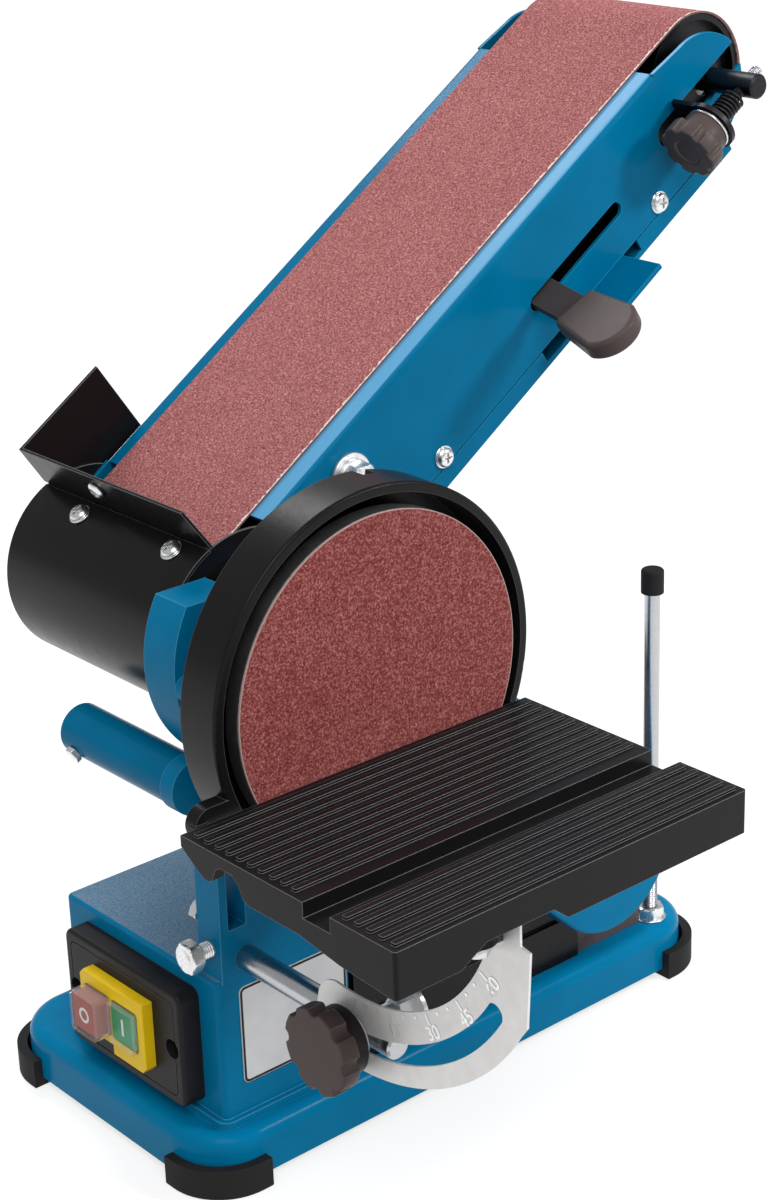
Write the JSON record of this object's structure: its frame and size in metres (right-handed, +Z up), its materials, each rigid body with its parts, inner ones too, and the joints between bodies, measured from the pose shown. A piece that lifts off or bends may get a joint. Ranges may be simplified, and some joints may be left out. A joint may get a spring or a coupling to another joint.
{
  "type": "bench belt and disc sander",
  "caption": "Bench sander with a tilting belt arm, a vertical sanding disc in a guard, a ribbed tilting disc table with protractor, a push-button switch box and a pressed steel base.",
  "frame": {"origin": "on the floor under the middle of the whole machine's bounding box", "axes": "+Z up; +Y to the back, along the spindle from the disc to the belt; +X to the right, the way the belt arm leans"},
  "size_m": [0.44, 0.3586, 0.4858],
  "materials": {
    "blue_paint": "satin gloss",
    "black_paint": "satin",
    "black_casting": "satin black paint on cast aluminium",
    "rubber": "matte",
    "bright_steel": "bright zinc plated",
    "galvanised": "galvanised",
    "dark_steel": "black oxide",
    "drum_alloy": "machined",
    "winding": "varnished",
    "black_plastic": "fine texture",
    "yellow_plastic": "gloss",
    "clear_plastic": "clear",
    "red_plastic": "gloss",
    "green_plastic": "gloss",
    "knob_plastic": "satin",
    "abrasive_belt": "grit",
    "abrasive_paper": "grit"
  },
  "bodies": {
    "stand": {"base_tray": "blue_paint", "bottom_plate": "black_paint", "rubber_feet": "rubber", "pedestal": "blue_paint", "spindle_bearings": "bright_steel", "switch_cover": "black_plastic", "switch_bezel": "yellow_plastic", "switch_block": "black_plastic", "button_shrouds": "clear_plastic", "rating_plate": "drum_alloy", "motor_housing": "black_paint", "motor_end_cover": "black_paint", "stator": "winding", "motor_bearings": "bright_steel", "drive_belt": "rubber", "drive_belt_cover": "blue_paint", "drive_cover_plate": "blue_paint", "disc_guard": "black_casting", "table_pivot_pins": "bright_steel", "table_rod": "bright_steel", "rod_clamp_bolts": "bright_steel", "socket_tube": "blue_paint", "socket_set_screw": "bright_steel", "support_rod": "bright_steel", "support_rod_nut": "bright_steel", "support_rod_cap": "rubber"},
    "spindle": {"spindle_shaft": "bright_steel", "disc_plate": "drum_alloy", "abrasive_disc": "abrasive_paper", "driven_pulley": "dark_steel", "drive_drum": "drum_alloy"},
    "motor_rotor": {"rotor": "dark_steel", "motor_pulley": "dark_steel"},
    "belt_arm": {"belt_frame": "blue_paint", "bottom_cover": "blue_paint", "cover_screws": "bright_steel", "drum_guard": "black_paint", "work_stop": "black_paint", "stop_screws": "bright_steel", "sanding_belt": "abrasive_belt", "arm_clamp": "dark_steel", "arm_lock_bolt": "bright_steel", "far_bearing": "bright_steel", "lever_pin": "bright_steel"},
    "idler_carriage": {"idler_carriage": "dark_steel", "tracking_spring": "dark_steel"},
    "idler_shaft": {"idler_shaft": "dark_steel"},
    "idler_drum": {"idler_drum": "dark_steel", "idler_bearings": "bright_steel"},
    "tracking_knob": {"tracking_knob": "knob_plastic", "tracking_screw": "bright_steel"},
    "tension_lever": {"lever_bar": "dark_steel", "lever_grip": "knob_plastic"},
    "table": {"table_top": "black_casting", "protractor": "galvanised", "protractor_screws": "bright_steel"},
    "tilt_knob": {"tilt_knob": "knob_plastic", "tilt_bolt": "bright_steel"},
    "start_button": {"start_button": "green_plastic"},
    "stop_button": {"stop_button": "red_plastic"}
  },
  "joints": [
    {"name": "arm_swing", "type": "hinge", "parent": "stand", "child": "belt_arm", "pos_m": [-0.11099, 0.10225, 0.256], "axis": [0, -1, 0], "range_deg": [-33.5, 56.5]},
    {"name": "spindle_turn", "type": "hinge", "parent": "stand", "child": "spindle", "pos_m": [-0.11099, 0.05225, 0.256], "axis": [0, 1, 0], "continuous": true},
    {"name": "rotor_turn", "type": "hinge", "parent": "stand", "child": "motor_rotor", "pos_m": [0.07201, 0.06225, 0.091], "axis": [0, 1, 0], "continuous": true},
    {"name": "idler_slide", "type": "slide", "parent": "belt_arm", "child": "idler_carriage", "axis": [0.8339, 0, 0.5519], "range_m": [-0.008, 0]},
    {"name": "idler_tilt", "type": "hinge", "parent": "idler_carriage", "child": "idler_shaft", "pos_m": [0.18824, 0.15925, 0.45405], "axis": [-0.5519, 0, 0.8339], "range_deg": [-0.8, 0]},
    {"name": "idler_turn", "type": "hinge", "parent": "idler_shaft", "child": "idler_drum", "pos_m": [0.18824, 0.10225, 0.45405], "axis": [0, 1, 0], "continuous": true},
    {"name": "tracking_turn", "type": "hinge", "parent": "idler_carriage", "child": "tracking_knob", "pos_m": [0.15586, 0.02275, 0.43262], "axis": [0.8339, 0, 0.5519], "range_deg": [0, 360]},
    {"name": "lever_swing", "type": "hinge", "parent": "belt_arm", "child": "tension_lever", "pos_m": [0.08523, 0.11525, 0.37808], "axis": [-0.5519, 0, 0.8339], "range_deg": [0, 30]},
    {"name": "table_tilt", "type": "hinge", "parent": "stand", "child": "table", "pos_m": [-0.12599, -0.06575, 0.219], "axis": [1, 0, 0], "range_deg": [0, 45]},
    {"name": "tilt_knob_turn", "type": "hinge", "parent": "stand", "child": "tilt_knob", "pos_m": [-0.16098, -0.06668, 0.112], "axis": [1, 0, 0], "range_deg": [0, 360]},
    {"name": "start_press", "type": "slide", "parent": "stand", "child": "start_button", "axis": [1, 0, 0], "range_m": [0, 0.003], "stiffness_N_per_m": 400, "springref_m": -0.002},
    {"name": "stop_press", "type": "slide", "parent": "stand", "child": "stop_button", "axis": [1, 0, 0], "range_m": [0, 0.003], "stiffness_N_per_m": 400, "springref_m": -0.002}
  ],
  "couplings": [
    {"joint": "rotor_turn", "follows": "spindle_turn", "ratio": 2},
    {"joint": "idler_turn", "follows": "spindle_turn", "ratio": 1},
    {"joint": "idler_slide", "follows": "lever_swing", "m_per_rad": -0.015279},
    {"joint": "idler_tilt", "follows": "tracking_turn", "ratio": -0.0022222}
  ]
}
